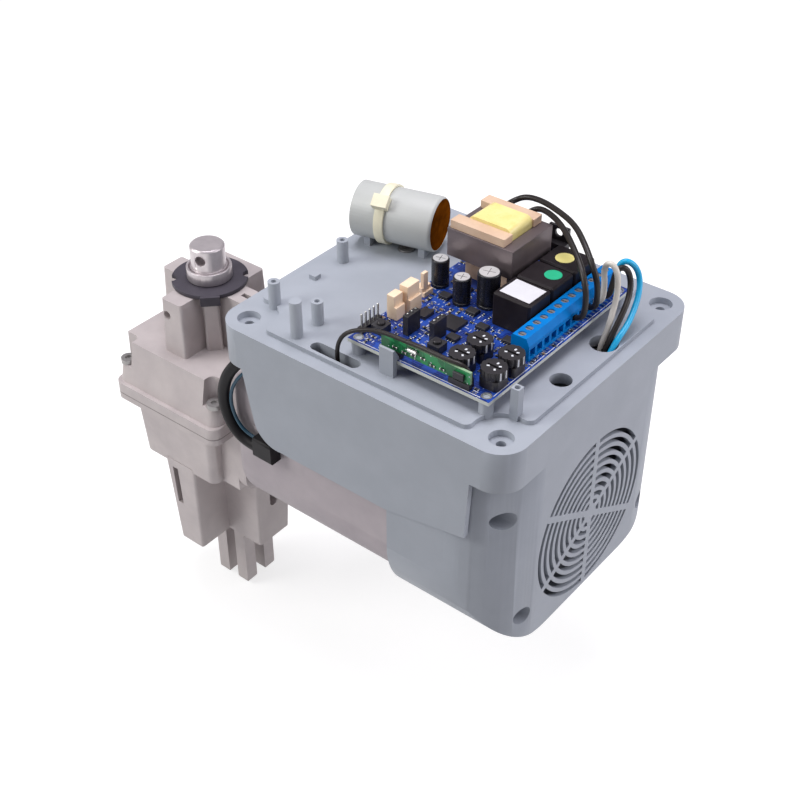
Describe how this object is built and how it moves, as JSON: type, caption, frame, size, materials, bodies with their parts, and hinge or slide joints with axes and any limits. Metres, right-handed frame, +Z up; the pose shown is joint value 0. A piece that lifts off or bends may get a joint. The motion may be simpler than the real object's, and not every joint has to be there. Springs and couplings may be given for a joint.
{
  "type": "gate opener gear motor",
  "caption": "Worm gear motor for an up-and-over gate: keyed rail tower with upright output shaft, fan-cooled motor and an open plastic tray of control electronics on top.",
  "frame": {"origin": "on the output shaft's axis, level with the rim of its collar, where the guide rail's drive sleeve comes down over the shaft", "axes": "+Z up along the output shaft, +X from the gearbox along the motor to the fan grille, +Y to the side away from the front skirt"},
  "size_m": [0.2255, 0.138, 0.2382],
  "materials": {
    "cast_aluminium": "as-cast, fine grain",
    "grey_moulding": "fine spark-eroded texture",
    "turned_steel": "turned and ground",
    "bearing_steel": "ground",
    "zinc_screws": "bright zinc",
    "bronze": "machined",
    "black_rubber": "matt",
    "gasket_sheet": "pressed fibre sheet",
    "lamination_steel": "stacked sheet",
    "enamelled_copper": "varnished",
    "fan_plastic": "moulded",
    "blue_board": "solder mask",
    "green_board": "solder mask",
    "capacitor_sleeve": "satin sleeve",
    "brown_laminate": "pressed",
    "cream_nylon": "moulded",
    "yellow_tape": "polyester tape",
    "black_plastic": "moulded",
    "switch_metal": "tin plate",
    "terminal_blue": "moulded",
    "capacitor_film": "shrink sleeve",
    "black_pvc": "extruded",
    "white_pvc": "extruded",
    "blue_pvc": "extruded"
  },
  "bodies": {
    "chassis": {"antenna_wire": "black_pvc", "cable_grommet": "black_rubber", "capacitor_can": "capacitor_sleeve", "capacitor_end_disc": "brown_laminate", "capacitor_tie": "cream_nylon", "control_board": "blue_board", "control_chips": "black_plastic", "dust_seal": "black_rubber", "electrolytic_capacitors": "capacitor_film", "electronics_tray": "grey_moulding", "fan_shroud": "grey_moulding", "front_bearing": "bearing_steel", "gearbox_body": "cast_aluminium", "gearbox_gasket": "gasket_sheet", "gearbox_lid": "cast_aluminium", "lid_screws": "zinc_screws", "lower_bush": "bronze", "motor_case": "cast_aluminium", "motor_end_shield": "cast_aluminium", "motor_flange_screws": "zinc_screws", "motor_lead_black": "black_pvc", "motor_lead_blue": "blue_pvc", "motor_lead_white": "white_pvc", "motor_plug": "cream_nylon", "pin_headers": "black_plastic", "rear_bearing": "bearing_steel", "receiver_board": "green_board", "relays": "black_plastic", "sensor_cable": "black_rubber", "sensor_wire": "blue_pvc", "shroud_screws": "zinc_screws", "stator_core": "lamination_steel", "stator_windings": "enamelled_copper", "tact_switch_bodies": "switch_metal", "terminal_block": "terminal_blue", "terminal_lead_1": "black_pvc", "terminal_lead_2": "black_pvc", "terminal_screws": "zinc_screws", "transformer_bobbin": "cream_nylon", "transformer_coil": "yellow_tape", "transformer_core": "lamination_steel", "tray_screws": "zinc_screws", "trimmer_bases": "black_plastic", "upper_bush": "bronze", "wire_connectors": "cream_nylon", "worm_end_bearing": "bearing_steel"},
    "output": {"output_shaft": "turned_steel", "worm_wheel": "bronze", "wheel_key": "turned_steel", "shaft_collar": "turned_steel"},
    "rotor": {"motor_shaft": "turned_steel", "rotor_core": "lamination_steel", "cooling_fan": "fan_plastic"},
    "trimmer_1": {"trimmer_knob_1": "black_plastic"},
    "trimmer_2": {"trimmer_knob_2": "black_plastic"},
    "trimmer_3": {"trimmer_knob_3": "black_plastic"},
    "trimmer_4": {"trimmer_knob_4": "black_plastic"},
    "button_1": {"tact_button_1": "black_plastic"},
    "button_2": {"tact_button_2": "black_plastic"}
  },
  "joints": [
    {"name": "rotor_spin", "type": "hinge", "parent": "chassis", "child": "rotor", "pos_m": [0, 0.03, -0.065], "axis": [1, 0, 0], "continuous": true},
    {"name": "output_turn", "type": "hinge", "parent": "chassis", "child": "output", "pos_m": [0, 0, 0], "axis": [0, 0, 1], "continuous": true},
    {"name": "trimmer_1_turn", "type": "hinge", "parent": "chassis", "child": "trimmer_1", "pos_m": [0.1525, -0.0132, 0.0232], "axis": [0, 0, 1], "range_deg": [-105, 105]},
    {"name": "trimmer_2_turn", "type": "hinge", "parent": "chassis", "child": "trimmer_2", "pos_m": [0.1525, -0.0016, 0.0232], "axis": [0, 0, 1], "range_deg": [-105, 105]},
    {"name": "trimmer_3_turn", "type": "hinge", "parent": "chassis", "child": "trimmer_3", "pos_m": [0.1674, -0.0132, 0.0232], "axis": [0, 0, 1], "range_deg": [-105, 105]},
    {"name": "trimmer_4_turn", "type": "hinge", "parent": "chassis", "child": "trimmer_4", "pos_m": [0.1674, -0.0016, 0.0232], "axis": [0, 0, 1], "range_deg": [-105, 105]},
    {"name": "button_1_press", "type": "slide", "parent": "chassis", "child": "button_1", "axis": [0, 0, -1], "range_m": [0, 0.0003], "stiffness_N_per_m": 800},
    {"name": "button_2_press", "type": "slide", "parent": "chassis", "child": "button_2", "axis": [0, 0, -1], "range_m": [0, 0.0003], "stiffness_N_per_m": 800}
  ],
  "couplings": [
    {"joint": "output_turn", "follows": "rotor_spin", "ratio": 0.05}
  ]
}
